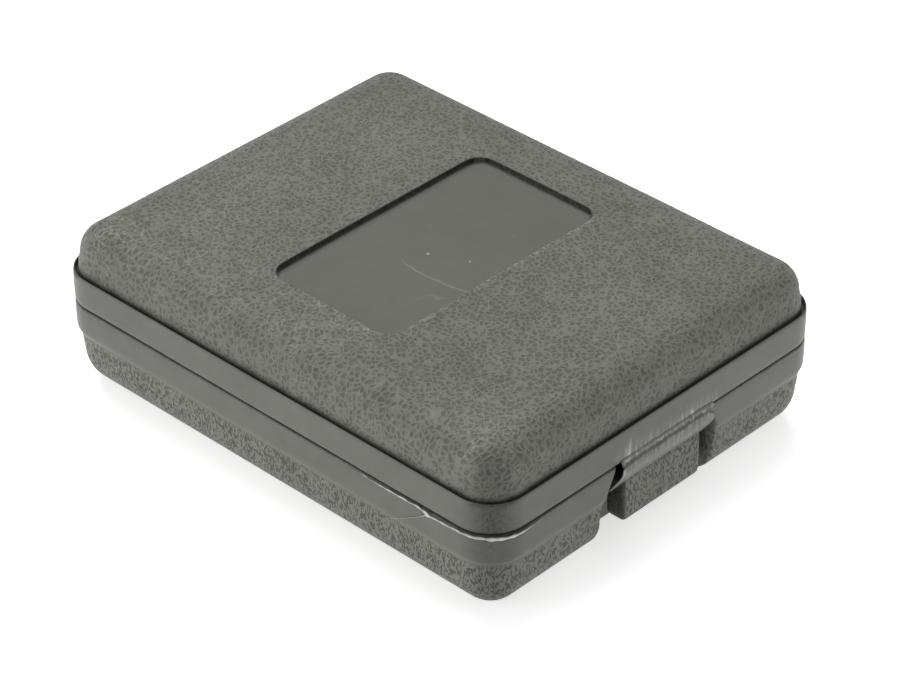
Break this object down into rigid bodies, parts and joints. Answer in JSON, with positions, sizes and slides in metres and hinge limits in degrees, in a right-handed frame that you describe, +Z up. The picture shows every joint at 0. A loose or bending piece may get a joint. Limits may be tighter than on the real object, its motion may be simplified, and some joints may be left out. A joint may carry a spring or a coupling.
{
  "type": "socket wrench set in case",
  "caption": "Quarter-inch-drive socket wrench set in a latched, hinged plastic carrying case: ratchet, spinner, extension, universal joint, sliding T-bar and metric sockets in a moulded tray.",
  "frame": {"origin": "middle of the case's underside, on the floor, midway between the long sides and between the front and back bands", "axes": "+Z up, -Y towards the latch, +Y towards the hinge, +X to the right of someone facing the latch"},
  "size_m": [0.145, 0.1928, 0.056],
  "materials": {
    "case": "grained olive-grey moulding with smooth bands",
    "chrome": "satin to bright plating",
    "steel": "plain machined steel",
    "grip": "black moulded grip"
  },
  "bodies": {
    "base": {"base_shell": "case", "hinge_pin_left": "steel", "hinge_pin_right": "steel", "ratchet_handle": "chrome", "ratchet_cover": "steel", "spinner_grip": "grip", "spinner_shank": "chrome", "spinner_ball": "steel", "extension_bar": "chrome", "extension_ball": "steel", "universal_socket_fork": "chrome", "t_bar_rod": "chrome", "socket_04_0mm": "chrome", "socket_05_0mm": "chrome", "socket_05_5mm": "chrome", "socket_06_0mm": "chrome", "socket_07_0mm": "chrome", "socket_08_0mm": "chrome", "socket_09_0mm": "chrome", "socket_10_0mm": "chrome", "socket_11_0mm": "chrome", "socket_12_0mm": "chrome", "socket_13_0mm": "chrome", "socket_14_0mm": "chrome"},
    "lid": {"lid_shell": "case"},
    "latch": {"latch": "case"},
    "ratchet_drive": {"drive_gear": "steel", "ratchet_ball": "steel"},
    "ratchet_reverser": {"pawl": "steel", "reverse_lever": "chrome"},
    "universal_centre": {"universal_cross": "steel"},
    "universal_drive": {"universal_drive_fork": "chrome"},
    "t_bar_slider": {"t_bar_head": "chrome", "t_bar_ball": "steel"}
  },
  "joints": [
    {"name": "lid_hinge", "type": "hinge", "parent": "base", "child": "lid", "pos_m": [0, 0.0961, 0.0305], "axis": [-1, 0, 0], "range_deg": [0, 180]},
    {"name": "latch_hinge", "type": "hinge", "parent": "lid", "child": "latch", "pos_m": [0, -0.0915, 0.0305], "axis": [-1, 0, 0], "range_deg": [0, 110]},
    {"name": "ratchet_drive_turn", "type": "hinge", "parent": "base", "child": "ratchet_drive", "pos_m": [-0.048, 0.06, 0.0205], "axis": [0, 0, 1], "continuous": true},
    {"name": "reverse_lever_turn", "type": "hinge", "parent": "base", "child": "ratchet_reverser", "pos_m": [-0.048, 0.047, 0.0205], "axis": [0, 0, 1], "range_deg": [0, 20]},
    {"name": "universal_tilt", "type": "hinge", "parent": "base", "child": "universal_centre", "pos_m": [0.003, -0.031, 0.02], "axis": [-1, 0, 0], "range_deg": [0, 30]},
    {"name": "universal_swing", "type": "hinge", "parent": "universal_centre", "child": "universal_drive", "pos_m": [0.003, -0.031, 0.02], "axis": [0, 0, 1], "range_deg": [-18, 18]},
    {"name": "t_bar_slide", "type": "slide", "parent": "base", "child": "t_bar_slider", "axis": [1, 0, 0], "range_m": [-0.038, 0.038]}
  ]
}
